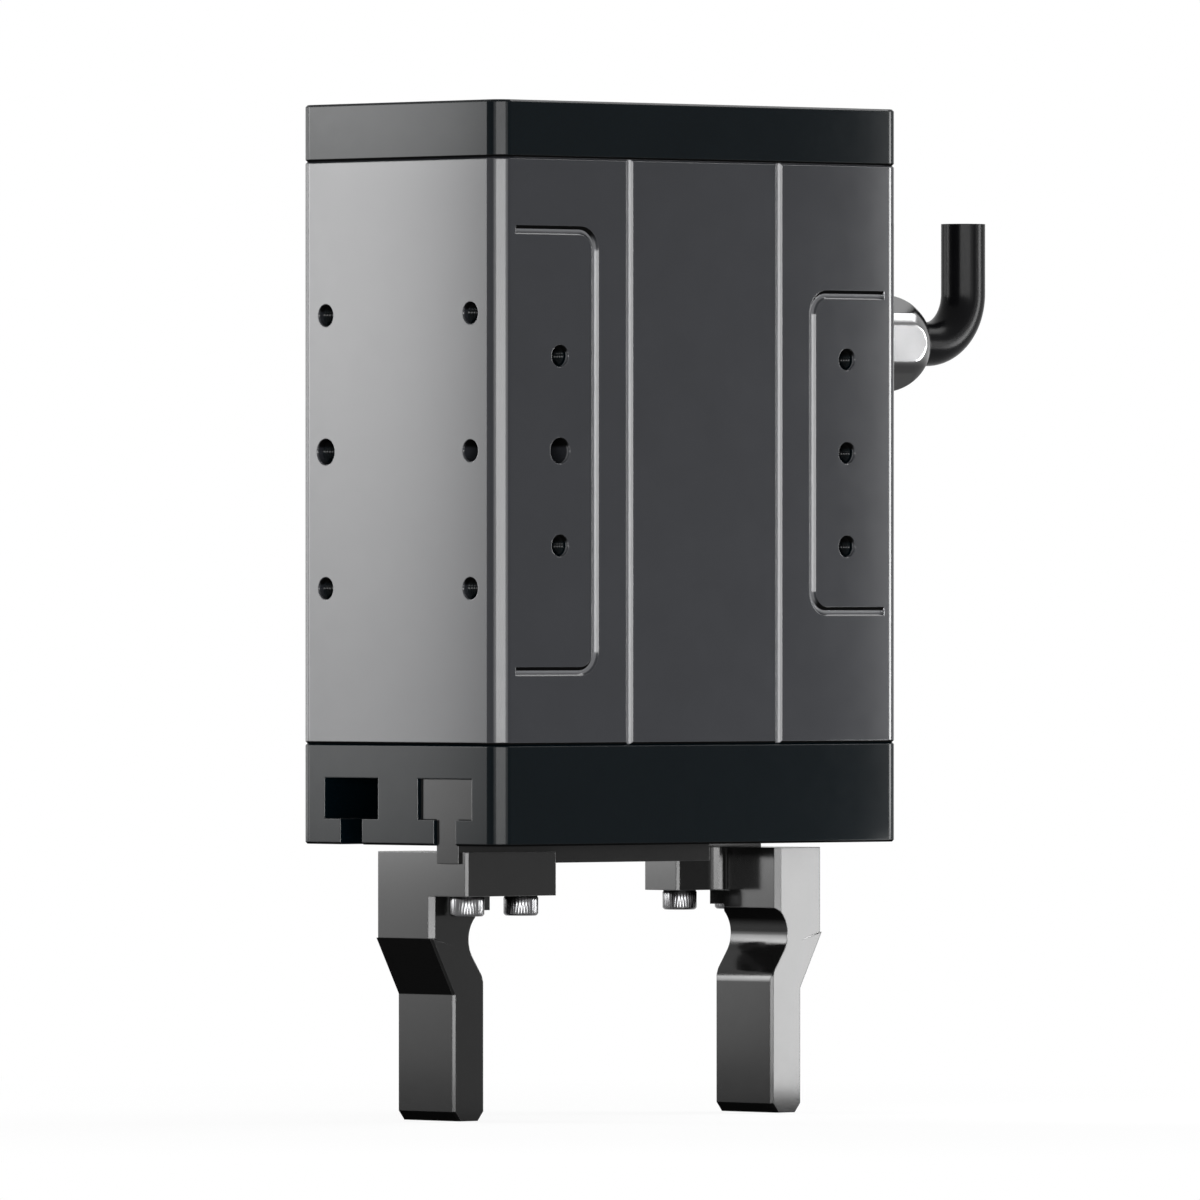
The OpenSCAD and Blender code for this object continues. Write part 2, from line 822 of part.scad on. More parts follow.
module gear_plate() {
    color("#8f9193")
        difference() {
            translate([0, 0, plate_z])
                linear_extrude(plate_h) rounded_rect(cavity_w - 2 * plate_gap, cavity_d - 2 * plate_gap, cavity_r);
            bore(PLATE_BEARING[1], plate_z - over, PLATE_BEARING[2] + over);
            bore(PLATE_BEARING[1] - 2.5, plate_z - over, PLATE_BEARING[2] + 2 + over);
            four(pillar_x, pillar_y) bore(m3_clear_d, plate_z - over, plate_h + 2 * over);
            at_motor() {
                bore(2 * motor_pinion_r + 3, plate_z - over, plate_h + 2 * over);
                bore(pilot_d, flange_z - pilot_h, pilot_h + over);
                motor_bolts() {
                    bore(m3_clear_d, plate_z - over, plate_h + 2 * over);
                    bore(m3_bore_d, plate_z - over, m3_bore_depth + over);
                }
            }
        }
}

module plate_pillars() {
    color("#c4c6c8") four(pillar_x, pillar_y) tube(pillar_d, m3_clear_d, base_h, plate_z - base_h);
}

module plate_screws() {
    color("#c8cacc")
        four(pillar_x, pillar_y)
            translate([0, 0, flange_z]) m3_screw(flange_z - base_h + plate_screw_depth);
}

// ---------- Motor ----------

module motor_flange() {
    color("#9a9c9e")
        at_motor()
            difference() {
                union() {
                    bore(motor_d, flange_z, motor_flange_h);
                    bore(pilot_d, flange_z - pilot_h, pilot_h + over);
                    bore(MOTOR_BEARING[1] + 4, can_z - over, over + 2);
                }
                bore(MOTOR_BEARING[1], can_z + 2 - MOTOR_BEARING[2], MOTOR_BEARING[2] + over);
                bore(MOTOR_BEARING[0] + 3, flange_z - pilot_h - over, 10);
                motor_bolts() bore(m3_tapped_d, flange_z - over, motor_flange_h + 2 * over);
            }
}

module motor_screws() {
    color("#c8cacc")
        at_motor()
            motor_bolts()
                translate([0, 0, plate_z + m3_bore_depth]) mirror([0, 0, 1]) m3_screw(motor_screw_l);
}

module motor_can() {
    color("#4a4c4e") at_motor() tube(motor_d, motor_d - 2 * can_wall, can_z, can_h);
}

module motor_end_cap() {
    color("#9a9c9e")
        at_motor()
            difference() {
                bore(motor_d, end_cap_z, end_cap_h + end_cap_rim);
                bore(motor_d - 6, end_cap_z + end_cap_h, end_cap_rim + over);
                bore(MOTOR_BEARING[1], end_cap_z - over, MOTOR_BEARING[2] + over);
                bore(MOTOR_BEARING[0] + 3, end_cap_z - over, end_cap_h + 2 * over);
            }
}

module stator_core() {
    color("#7b6a58") at_motor() tube(motor_d - 2 * can_wall, stator_d, stator_z, stator_h);
}

module stator_windings() {
    color("#b4622f")
        at_motor()
            for (z = [stator_z - winding_h, stator_z + stator_h])
                tube(motor_d - 2 * can_wall - 3, stator_d + 2, z, winding_h);
}

module motor_shaft() {
    color("#c0c2c4")
        at_motor() bore(MOTOR_BEARING[0], gear_z - 0.5, end_cap_z + end_cap_h - 2 - gear_z + 0.5);
}

module motor_magnets() {
    color("#55585a") at_motor() tube(magnet_d, MOTOR_BEARING[0] + 2 * screw_gap, stator_z, stator_h);
}

module motor_pinion() {
    color("#c9b36a")
        at_motor()
            difference() {
                translate([0, 0, gear_z - 0.5])
                    linear_extrude(gear_w + 1) gear_shape(gear_module, motor_teeth, 180 / motor_teeth);
                bore(MOTOR_BEARING[0] + 2 * screw_gap, gear_z - over, gear_w + 3);
            }
}

module encoder_magnet() {
    color("#606264") at_motor() bore(6, end_cap_z + end_cap_h - 2, encoder_h);
}

module both_motor_bearings() {
    at_motor()
        for (z = [can_z + 2 - MOTOR_BEARING[2], end_cap_z])
            translate([0, 0, z]) children();
}

module motor_bearing_outers() { color("#9fa1a3") both_motor_bearings() outer_race(MOTOR_BEARING); }
module motor_bearing_inners() { color("#9fa1a3") both_motor_bearings() inner_race(MOTOR_BEARING); }
module motor_bearing_balls() { color("#e0e2e4") both_motor_bearings() race_balls(MOTOR_BEARING); }

module encoder_board() {
    color("#1f5f3a") at_motor() bore(motor_d - 2, end_cap_z + end_cap_h + end_cap_rim, board_t);
}

module encoder_chip() {
    color("#202224")
        at_motor()
            translate([-2.5, -2.5, end_cap_z + end_cap_h + 1]) cube([5, 5, 1]);
}

// ---------- Control board ----------

// The four places where the board stands off the rear wall, with +Z out of the wall
module board_fixings() {
    for (i = [-1, 1], j = [-1, 1])
        translate([board_x + i * standoff_x, cavity_d / 2, board_z + j * standoff_z])
            rotate([90, 0, 0]) children();
}

module control_board() {
    color("#1f5f3a")
        difference() {
            translate([board_x - board_w / 2, board_y, board_z - board_h / 2]) cube([board_w, board_t, board_h]);
            board_fixings() bore(m3_clear_d, 0, cavity_d);
        }
}

module board_chips() {
    color("#202224") {
        for (z = [-26, -12])
            translate([board_x - 7, board_y - 1.4, board_z + z]) cube([10, 1.4, 10]);
        for (i = [-1 : 1])
            translate([board_x + i * 10, board_y, board_z + 32]) rotate([90, 0, 0]) cylinder(d = 6.3, h = 7.5);
    }
}

module board_standoffs() {
    standoff_l = cavity_d / 2 - board_y - board_t;
    color("#c9b36a")
        board_fixings()
            difference() {
                union() {
                    bore(standoff_d, 0, standoff_l);
                    bore(m3_d, -stud_l, stud_l + over);
                }
                bore(m3_tapped_d, standoff_l - 6, 6 + over);
            }
}

module board_screws() {
    color("#c8cacc") board_fixings() translate([0, 0, cavity_d / 2 - board_y]) m3_screw(6.5);
}

module terminal_block() {
    color("#2f6f4f")
        difference() {
            translate([terminal_x - terminal_w / 2, -5, gland_z - terminal_h / 2])
                cube([terminal_w, board_y + 5, terminal_h]);
            cores() bore(core_d + 0.1, terminal_x + terminal_w / 2 - 2, body_w);
        }
}

module motor_lead() {
    color("#b03030")
        for (i = [-1 : 1])
            translate([motor_x + motor_d / 2, i * 1.8, lead_z])
                along_x() bore(1.5, 0, board_x - board_w / 2 - motor_x - motor_d / 2 + 4);
    color("#e8e4d8")
        translate([board_x - board_w / 2 + 4, -4, lead_z - 3]) cube([7, board_y + 4, 6]);
}

// ---------- Cable ----------

module at_gland() {
    translate([0, 0, gland_z]) along_x() children();
}

module gland_body() {
    inside_x = cavity_w / 2 - locknut_h;
    color("#b4b6b8")
        at_gland()
            difference() {
                union() {
                    bore(gland_thread_d, inside_x, body_w / 2 - inside_x + over);
                    hex_x(gland_flange_af, body_w / 2, gland_flange_h);
                    bore(gland_barrel_d, body_w / 2, gland_flange_h + gland_barrel_l);
                }
                bore(gland_bore_d, inside_x - over, body_w);
            }
}

module gland_locknut() {
    color("#b4b6b8")
        at_gland()
            difference() {
                hex_x(locknut_af, cavity_w / 2 - locknut_h, locknut_h);
                bore(gland_thread_d + 2 * screw_gap, 0, body_w);
            }
}

module gland_seal() {
    x = body_w / 2 + gland_flange_h + gland_barrel_l;
    color("#2a2a2a") at_gland() tube(gland_barrel_d - 0.4, cable_d + 2 * screw_gap, x, gland_seal_l);
}

module gland_nut() {
    dome_x = gland_mouth_x - gland_dome_r * 0.84;
    color("#a9abad")
        at_gland()
            difference() {
                intersection() {
                    hex_x(gland_af, gland_nut_x, gland_mouth_x - gland_nut_x);
                    union() {
                        bore(4 * gland_af, gland_nut_x - over, dome_x - gland_nut_x + over);
                        translate([0, 0, dome_x]) sphere(r = gland_dome_r);
                    }
                }
                bore(gland_barrel_d + 2 * screw_gap, gland_nut_x - over, gland_mouth_x - gland_lip - gland_nut_x + over);
                bore(gland_bore_d, 0, 2 * body_w);
            }
}

// The sheath runs through the gland, bends up and ends in a square cut.
module cable() {
    color("#0c0c0d") {
        at_gland() bore(cable_d, cable_start_x, gland_mouth_x + 0.5 - cable_start_x);
        translate([gland_mouth_x + 0.5, 0, gland_z + cable_bend_r])
            rotate([90, 0, 0])
                rotate_extrude(angle = 90, start = 270) translate([cable_bend_r, 0]) circle(d = cable_d);
        translate([gland_mouth_x + 0.5 + cable_bend_r, 0, gland_z + cable_bend_r]) cylinder(d = cable_d, h = cable_up);
    }
}

module cores() {
    at_gland()
        for (i = [0 : core_count - 1])
            rotate([0, 0, i * 360 / core_count]) translate([core_ring_r, 0, 0]) children();
}

module cable_cores() {
    start = terminal_x + terminal_w / 2 - 2;
    color("#8a5a2b") cores() bore(core_d, start, cable_start_x - start);
}

// ---------- Assembly ----------

main_housing();
top_cap();
cap_gasket();
cap_screws();
base_block();
base_screws();
left_slider();
left_finger();
left_finger_screws();
right_slider();
right_finger();
right_finger_screws();
rack_pinion();
pinion_bush();
drive_gear();
drive_gear_clip();
base_bearing_outer();
base_bearing_inner();
base_bearing_balls();
plate_bearing_outer();
plate_bearing_inner();
plate_bearing_balls();
gear_plate();
plate_pillars();
plate_screws();
motor_flange();
motor_screws();
motor_can();
motor_end_cap();
stator_core();
stator_windings();
motor_shaft();
motor_magnets();
motor_pinion();
encoder_magnet();
motor_bearing_outers();
motor_bearing_inners();
motor_bearing_balls();
encoder_board();
encoder_chip();
control_board();
board_chips();
board_standoffs();
board_screws();
terminal_block();
motor_lead();
gland_body();
gland_locknut();
gland_seal();
gland_nut();
cable();
cable_cores();
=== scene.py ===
# %% [markdown]
# # Electric two finger gripper
# This lesson dresses a finished machine model for a studio picture. The exact parts come from the
# CAD frame and keep their shape. What is made here is everything that shape alone can't give: metal
# and rubber finishes, knurled screw heads, threads, a domed nut, lamps and a camera. Lengths are in
# metres, and places on the gripper come from the frame.

# %% Load the frame
import json
import math

import bmesh
import bpy
from mathutils import Matrix, Vector


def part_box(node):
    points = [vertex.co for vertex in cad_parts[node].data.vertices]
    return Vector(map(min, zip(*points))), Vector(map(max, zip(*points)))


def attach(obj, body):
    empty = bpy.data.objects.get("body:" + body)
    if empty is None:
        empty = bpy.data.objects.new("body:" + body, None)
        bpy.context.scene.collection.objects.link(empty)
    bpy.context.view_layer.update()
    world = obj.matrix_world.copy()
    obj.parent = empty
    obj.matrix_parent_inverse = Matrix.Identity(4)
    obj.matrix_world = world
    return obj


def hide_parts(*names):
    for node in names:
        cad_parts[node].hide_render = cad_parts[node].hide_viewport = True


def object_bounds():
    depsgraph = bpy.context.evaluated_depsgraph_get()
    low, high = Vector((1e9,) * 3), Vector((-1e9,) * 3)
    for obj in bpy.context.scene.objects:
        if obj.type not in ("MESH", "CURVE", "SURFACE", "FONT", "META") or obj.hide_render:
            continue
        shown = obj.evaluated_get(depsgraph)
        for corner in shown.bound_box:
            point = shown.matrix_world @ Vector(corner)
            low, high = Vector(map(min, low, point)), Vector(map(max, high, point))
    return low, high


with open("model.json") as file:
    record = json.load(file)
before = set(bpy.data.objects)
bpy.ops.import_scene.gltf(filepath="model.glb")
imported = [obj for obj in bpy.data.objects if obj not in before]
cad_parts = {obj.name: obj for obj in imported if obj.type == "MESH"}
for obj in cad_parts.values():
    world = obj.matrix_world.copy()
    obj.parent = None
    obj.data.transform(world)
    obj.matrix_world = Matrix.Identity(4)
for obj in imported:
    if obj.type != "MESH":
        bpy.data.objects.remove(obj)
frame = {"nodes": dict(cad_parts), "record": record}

cad_low, cad_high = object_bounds()
mm = 0.001
print("CAD box in mm:", [round(v / mm, 2) for v in cad_low], [round(v / mm, 2) for v in cad_high])

# %% [markdown]
# ## The camera
# A long lens from three and a half metres keeps upright edges upright and the top and bottom edges
# nearly level, as product pictures do. The camera stands level with the middle of the gripper and
# is turned so far round it that the narrow face takes a third of the width. A level camera needs no
# shift, because it looks straight at the middle.

# %% Camera
camera_turn = math.radians(42.4)
camera_away = 3.469
camera_height = 0.049
camera_aside = -0.2 * mm
camera_data = bpy.data.cameras.new("long_lens")
camera_data.sensor_width = 36
camera_data.lens = 515.2
camera_data.clip_start = 0.1
camera_data.clip_end = 60
camera = bpy.data.objects.new("camera", camera_data)
bpy.context.scene.collection.objects.link(camera)
look = Vector((math.sin(camera_turn), math.cos(camera_turn), 0))
across = Vector((math.cos(camera_turn), -math.sin(camera_turn), 0))
camera.location = across * camera_aside - look * camera_away + Vector((0, 0, camera_height))
camera.rotation_euler = (math.radians(90), 0, -camera_turn)
bpy.context.scene.camera = camera
print("camera stands at", [round(v, 3) for v in camera.location])

# %% [markdown]
# ## Shader sums in plain Python
# A shader is a net of nodes. Writing `1 - mask * 0.3` is easier to read than wiring three boxes by
# hand, so a small class wraps an output socket and makes a Math node for every sign in the sum.
# Vectors take Vector Math nodes, because a Math node would read only their length or grey value.

# %% Wires
def join(pin, value):
    if isinstance(value, Wire):
        pin.id_data.links.new(value.socket, pin)
    else:
        pin.default_value = value


class Wire:
    """An output socket that can stand in a sum."""

    def __init__(self, socket):
        self.socket = socket

    def sum(self, how, first, second):
        kind = "ShaderNodeVectorMath" if self.socket.type == "VECTOR" else "ShaderNodeMath"
        box = self.socket.id_data.nodes.new(kind)
        box.operation = how
        join(box.inputs[0], first)
        join(box.inputs[1], second)
        return Wire(box.outputs["Value"] if how == "DOT_PRODUCT" else box.outputs[0])

    def __add__(self, other):
        return self.sum("ADD", self, other)

    def __sub__(self, other):
        return self.sum("SUBTRACT", self, other)

    def __rsub__(self, other):
        return self.sum("SUBTRACT", other, self)

    def __mul__(self, other):
        return self.sum("MULTIPLY", self, other)

    def __matmul__(self, other):
        return self.sum("DOT_PRODUCT", self, other)

    __radd__ = __add__
    __rmul__ = __mul__


print("wires add, subtract, multiply and take dot products")

# %% [markdown]
# ## A bench to mix finishes on
# Every finish starts on the same bench: an empty material with one shader, and one method that adds
# any node. The method takes the node's type, its settings, and what goes into its sockets. Settings
# come first because they change which sockets a node has. A Mix node has several outputs called
# Result, and only the enabled one carries anything.

# %% Bench
class Bench:
    def __init__(self, name, tree=None):
        if tree is None:
            self.material = bpy.data.materials.new(name)
            self.material.use_nodes = True
            tree = self.material.node_tree
        self.tree = tree
        self.tree.nodes.clear()

    def node(self, kind, settings=None, pins=None):
        box = self.tree.nodes.new(kind)
        for key, value in (settings or {}).items():
            if key == "stops":
                ramp = box.color_ramp
                while len(ramp.elements) < len(value):
                    ramp.elements.new(0.5)
                for stop, (place, shade) in zip(ramp.elements, value):
                    stop.position = place
                    stop.color = (*(shade if isinstance(shade, tuple) else (shade,) * 3), 1)
            else:
                setattr(box, key, value)
        for key, value in (pins or {}).items():
            join(box.inputs[key], value)
        return {out.name: Wire(out) for out in reversed(box.outputs) if out.enabled}

    def shades(self, mask, dark, light):
        """A colour between two colours."""
        first, second = ((*end, 1) if isinstance(end, tuple) else end for end in (dark, light))
        pins = {0: mask, 6: first, 7: second}
        return self.node("ShaderNodeMix", {"data_type": "RGBA"}, pins)["Result"]

    def here(self):
        """The place that is being shaded, in the piece's own metres."""
        return self.node("ShaderNodeTexCoord")["Object"]

    def split(self, vector):
        """The X, Y and Z of a vector."""
        return self.node("ShaderNodeSeparateXYZ", None, {0: vector})

    def noise(self, size, detail=2.0, stretch=(1, 1, 1), rough=0.5):
        """Cloudy noise with lumps of about size metres, from 0 to 1."""
        place = self.here()
        if stretch != (1, 1, 1):
            place = place * stretch
        pins = {"Vector": place, "Scale": 1 / size, "Detail": detail, "Roughness": rough}
        return self.node("ShaderNodeTexNoise", None, pins)["Fac"]

    def ramp(self, value, *stops):
        return self.node("ShaderNodeValToRGB", {"stops": stops}, {"Fac": value})["Color"]

    def level(self, value, low, high):
        """0 below low, 1 above high, smooth between."""
        settings = {"interpolation_type": "SMOOTHSTEP"}
        pins = {"Value": value, "From Min": low, "From Max": high}
        return self.node("ShaderNodeMapRange", settings, pins)["Result"]

    def bumped(self, height, depth, normal):
        """A normal with relief of this depth in metres."""
        pins = {"Strength": 1.0, "Distance": depth, "Height": height, "Normal": normal}
        return self.node("ShaderNodeBump", None, pins)["Normal"]


print("the bench is ready")

# %% [markdown]
# ## Where edges wear, and where their highlight is painted
# Hands and tools polish the edges of a machined block first. A Bevel node gives the normal that a
# rounded edge would have. Where it leans away from the real normal there is an edge, so one minus
# their dot product is a mask of edges. The same rounded normal makes each sharp CAD edge catch a thin
# line of light. On the metals, the lighter colour laid along this mask is partly wear and partly a
# painted highlight.

# %% Edges
def edge_wear_and_highlight(bench, radius):
    rounded = bench.node("ShaderNodeBevel", {"samples": 6}, {"Radius": radius})["Normal"]
    true = bench.node("ShaderNodeNewGeometry")["Normal"]
    return bench.level(1 - rounded @ true, 0.02, 0.35), rounded


print("edges wear where the rounded normal leans")

# %% [markdown]
# ## Grooves and undersides: painted highlight and painted shade
# The floors and sides of the lines on the wide face are painted a lighter grey, a painted highlight
# for the light the grooves catch. A floor is any place just behind the front face, away from its
# rounded corners. Lips, slopes and groove sides that look down get painted shade, a matt black diffuse
# film, which makes each line look cut in and not drawn on. The upward part of the true normal tells
# how far a face looks down.

# %% Groove and underside masks
housing_low, housing_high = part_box("main_housing")
groove_deep = 0.6 * mm
corner_wide = 4 * mm
# A near-black diffuse colour painted over faces that look down, as painted shade.
painted_shade_black = (0.002, 0.002, 0.002, 1)


# Painted highlight: groove floors and sides get a lighter grey that stands in for the light the
# grooves catch.
def groove_highlight_mask(bench):
    place = bench.split(bench.here())
    front = housing_low.y
    begins = bench.level(place["Y"], front + 0.4 * groove_deep, front + 0.7 * groove_deep)
    ends = bench.level(place["Y"], front + 1.2 * groove_deep, front + 1.4 * groove_deep)
    left = bench.level(place["X"], housing_low.x + corner_wide, housing_low.x + corner_wide + mm)
    right = bench.level(place["X"], housing_high.x - corner_wide - mm, housing_high.x - corner_wide)
    return begins * (1 - ends) * left * (1 - right)


# Painted shade: this mask picks the faces that look down, which get a matt black film.
def underside_shade_mask(bench):
    true = bench.split(bench.node("ShaderNodeNewGeometry")["Normal"])
    return bench.level(true["Z"] * -1, 0.2, 0.5)


print("grooves are", groove_deep / mm, "mm deep")

# %% [markdown]
# ## One recipe for metals
# The metals here are told apart by their tone, how rough they are, the size and depth of their grain,
# whether the grain runs one way as grinding leaves it, and how light their edges are, which is partly
# wear and partly a painted highlight.
# Bare metal has no diffuse colour, so its tone is what it mirrors. An anodised or blackened face is
# different: its skin is a thin dark ceramic with a faint clear gloss, so it counts as no metal (pure =
# 0), and shine sets how much that gloss mirrors. Clouds and smudges swing the roughness a little about
# its middle. shade is how much painted shade undersides get, as a matt black film, and the groove
# colour is a lighter grey painted on groove floors as a painted highlight.

# %% Metal recipe
def metal(slot, tone, rough, grain=0.25 * mm, depth=2e-6, run=(1, 1, 1), edge=None,
          edge_r=0.25 * mm, cloud=0.12, pure=1.0, shine=0.5, shade=0.0, groove_highlight_colour=None):
    bench = Bench(slot)
    clouds = bench.noise(14 * mm, 3.0)
    smudge = bench.noise(3.5 * mm, 4.0, rough=0.6)
    fine = bench.noise(grain, 2.0, run, 0.6)
    wear_and_highlight, rounded = edge_wear_and_highlight(bench, edge_r)
    deep = tuple(v * (1 - cloud) for v in tone)
    pale = tuple(v * (1 + cloud) for v in tone)
    colour = bench.shades(clouds * 0.7 + fine * 0.3, deep, pale)
    # Edges get a lighter colour and turn metallic: partly wear, partly a painted highlight.
    bare_and_highlit = wear_and_highlight * (0.35 + smudge * 0.6)
    if edge:
        colour = bench.shades(bare_and_highlit, colour, edge)
    # Painted highlight: groove floors are painted a lighter grey.
    if groove_highlight_colour:
        colour = bench.shades(groove_highlight_mask(bench), colour, groove_highlight_colour)
    pins = {
        "Base Color": colour,
        "Metallic": bare_and_highlit * (1 - pure) + pure if edge and pure < 1 else pure,
        "Specular IOR Level": shine,
        "Roughness": rough - 0.06 + clouds * 0.04 + smudge * 0.05 + fine * 0.03,
        "Normal": bench.bumped(fine, depth, rounded),
    }
    shader = bench.node("ShaderNodeBsdfPrincipled", None, pins)["BSDF"]
    # Painted shade: a matt black diffuse shader is mixed in where a face looks down.
    if shade:
        painted_shade = bench.node("ShaderNodeBsdfDiffuse", None, {"Color": painted_shade_black})["BSDF"]
        shaded_share = underside_shade_mask(bench) * shade
        shader = bench.node("ShaderNodeMixShader", None, {0: shaded_share, 1: shader, 2: painted_shade})["Shader"]
    bench.node("ShaderNodeOutputMaterial", None, {"Surface": shader})
    return bench.material


print("metal recipe ready")

# %% [markdown]
# ## One recipe for plastics and rubber
# Moulded plastic is even in colour, but its skin is never quite smooth: it has broad soft clouds
# where it cooled, small smudges from handling, and edges a little paler where they have rubbed.

# %% Plastics recipe
def plastic(slot, tone, rough, grain=0.2 * mm, depth=4e-6, run=(1, 1, 1), shine=0.5, cloud=0.15):
    bench = Bench(slot)
    clouds = bench.noise(9 * mm, 3.0)
    smudge = bench.noise(2.5 * mm, 4.0, rough=0.6)
    fine = bench.noise(grain, 3.0, run, 0.6)
    wear_and_highlight, rounded = edge_wear_and_highlight(bench, 0.2 * mm)
    deep = tuple(v * (1 - cloud) for v in tone)
    pale = tuple(min(1, v * (1 + cloud)) for v in tone)
    colour = bench.shades(clouds * 0.6 + wear_and_highlight * 0.4, deep, pale)
    pins = {
        "Base Color": colour,
        "Roughness": rough - 0.05 + clouds * 0.04 + smudge * 0.06,
        "Specular IOR Level": shine,
        "Normal": bench.bumped(fine, depth, rounded),
    }
    shader = bench.node("ShaderNodeBsdfPrincipled", None, pins)["BSDF"]
    bench.node("ShaderNodeOutputMaterial", None, {"Surface": shader})
    return bench.material


print("plastics recipe ready")

# %% [markdown]
# ## The outer finishes
# The housing is grey anodised aluminium, the cap and the base are nearly black anodised with a cold
# cast, and the sliders and fingers are blackened steel, a little darker. Their gloss is low, so a
# face looks dark until a lamp stands where the face mirrors it. The screws and the gland nut are
# bright metal, and a little light on an edge is enough to draw every outline.

# %% Outer finishes
# These edge colours are partly wear and partly a painted highlight.
bright_wear_and_highlight = (0.30, 0.30, 0.31)
soft_wear_and_highlight = (0.08, 0.08, 0.08)
steel_wear_and_highlight = (0.26, 0.26, 0.26)
# shade paints shade on faces that look down: on the housing, cap, base and fingers fully, on the gland
# nut partly.
finishes = {
    # The housing's groove floors get a lighter grey as a painted highlight.
    "housing_anodised": metal(
        "housing_anodised", (0.0130, 0.0138, 0.0160), 0.12, edge=bright_wear_and_highlight, pure=0.0, shine=0.21,
        shade=1.0, groove_highlight_colour=(0.075, 0.076, 0.08)),
    "dark_anodised": metal(
        "dark_anodised", (0.0004, 0.0016, 0.0024), 0.12, edge=soft_wear_and_highlight, pure=0.0, shine=0.070,
        shade=1.0),
    "slider_steel": metal(
        "slider_steel", (0.006, 0.006, 0.006), 0.14, run=(0.15, 1, 1), edge=soft_wear_and_highlight, pure=0.0,
        shine=0.115),
    "finger_metal": metal(
        "finger_metal", (0.0036, 0.0036, 0.0036), 0.12, run=(1, 1, 0.2), edge=steel_wear_and_highlight, pure=0.0,
        shine=0.24, shade=1.0),
    "screw_steel": metal(
        "screw_steel", (0.10, 0.10, 0.102), 0.20, run=(1, 1, 0.2), edge=(0.3, 0.3, 0.3)),
    "gland_metal": metal(
        "gland_metal", (0.17, 0.17, 0.172), 0.17, edge=(0.22, 0.22, 0.22), shade=0.75),
    "cable_jacket": plastic("cable_jacket", (0.002, 0.002, 0.0023), 0.24, shine=0.05),
    "seal_rubber": plastic("seal_rubber", (0.012, 0.012, 0.012), 0.6, shine=0.2, depth=1e-5),
}
print(len(finishes), "outer finishes")

# %% [markdown]
# ## The finishes inside
# The gears, bearings, motor and boards show only when the cover is off, or through a hole, but they
# get the same care: ground steel, oilite bronze, copper wire with its lacquer, green board and
# brass posts.

# %% Inner finishes
finishes.update({
    "gear_steel": metal("gear_steel", (0.42, 0.43, 0.44), 0.28, edge=(0.6, 0.6, 0.6)),
    "bearing_steel": metal("bearing_steel", (0.60, 0.61, 0.62), 0.12, depth=4e-7),
    "bush_bronze": metal("bush_bronze", (0.50, 0.32, 0.14), 0.38),
    "machined_aluminium": metal("machined_aluminium", (0.55, 0.56, 0.57), 0.30, run=(0.2, 1, 1)),
    "can_steel": metal("can_steel", (0.05, 0.052, 0.055), 0.35, edge=(0.2, 0.2, 0.2)),
    "lamination_steel": metal("lamination_steel", (0.24, 0.23, 0.22), 0.45, run=(1, 1, 6)),
    "copper": metal("copper", (0.60, 0.27, 0.13), 0.30, run=(1, 1, 4), grain=0.5 * mm, depth=3e-5),
    "magnet": metal("magnet", (0.30, 0.30, 0.31), 0.30),
    "board_green": plastic("board_green", (0.02, 0.13, 0.05), 0.30),
    "chip_black": plastic("chip_black", (0.02, 0.02, 0.022), 0.45, depth=1e-5),
    "standoff_brass": metal("standoff_brass", (0.60, 0.46, 0.20), 0.25, run=(1, 1, 0.2)),
    "terminal_plastic": plastic("terminal_plastic", (0.05, 0.22, 0.10), 0.40),
    "lead_plastic": plastic("lead_plastic", (0.50, 0.06, 0.05), 0.35),
})
for part in frame["record"]["subparts"]:
    mesh = frame["nodes"][part["node"]].data
    mesh.materials.clear()
    mesh.materials.append(finishes[part["material_slot"]])
print(len(finishes), "finishes on", len(frame["nodes"]), "parts")

# %% [markdown]
# ## A lathe
# Screw heads and the gland nut are turned parts, so they are made as on a lathe: a list of rings
# that follows the outline, each with a height and a radius, joined ring to ring. A radius may also
# be a function of the angle. That gives the hexagon of a socket and the fine ridges of a knurl on
# the same lathe.

# %% Lathe
def turn(shape, rings, sides, at):
    """Adds a turned solid. A ring is (height, radius or function of angle); radius 0 ends it."""
    last = None
    for height, radius in rings:
        if radius == 0:
            row = [shape.verts.new(at + Vector((0, 0, height)))]
        else:
            row = []
            for k in range(sides):
                angle = 2 * math.pi * k / sides
                reach = radius(angle) if callable(radius) else radius
                offset = Vector((reach * math.cos(angle), reach * math.sin(angle), height))
                row.append(shape.verts.new(at + offset))
        if last:
            for k in range(sides):
                below = [last[i % len(last)] for i in (k, k + 1)]
                beyond = [row[i % len(row)] for i in (k + 1, k)]
                shape.faces.new(list(dict.fromkeys(below + beyond)))
        last = row


def finish_piece(name, shape, slot, body, sharp=35):
    bmesh.ops.recalc_face_normals(shape, faces=shape.faces)
    mesh = bpy.data.meshes.new(name)
    shape.to_mesh(mesh)
    shape.free()
    for face in mesh.polygons:
        face.use_smooth = True
    mesh.set_sharp_from_angle(angle=math.radians(sharp))
    mesh.materials.append(finishes[slot])
    piece = bpy.data.objects.new(name, mesh)
    bpy.context.scene.collection.objects.link(piece)
    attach(piece, body)
    print(name, "has", len(mesh.polygons), "faces")
    return piece


# %% [markdown]
# ## The finger screws
# Each finger hangs on two socket head cap screws. On the real ones the head is knurled so that it
# can be started by hand, its rim is chamfered, and the hexagon socket has a small lead-in for the
# key. The knurl is what breaks the mirror image in the head into upright streaks, so it has to be
# real ridges and not only a bump.

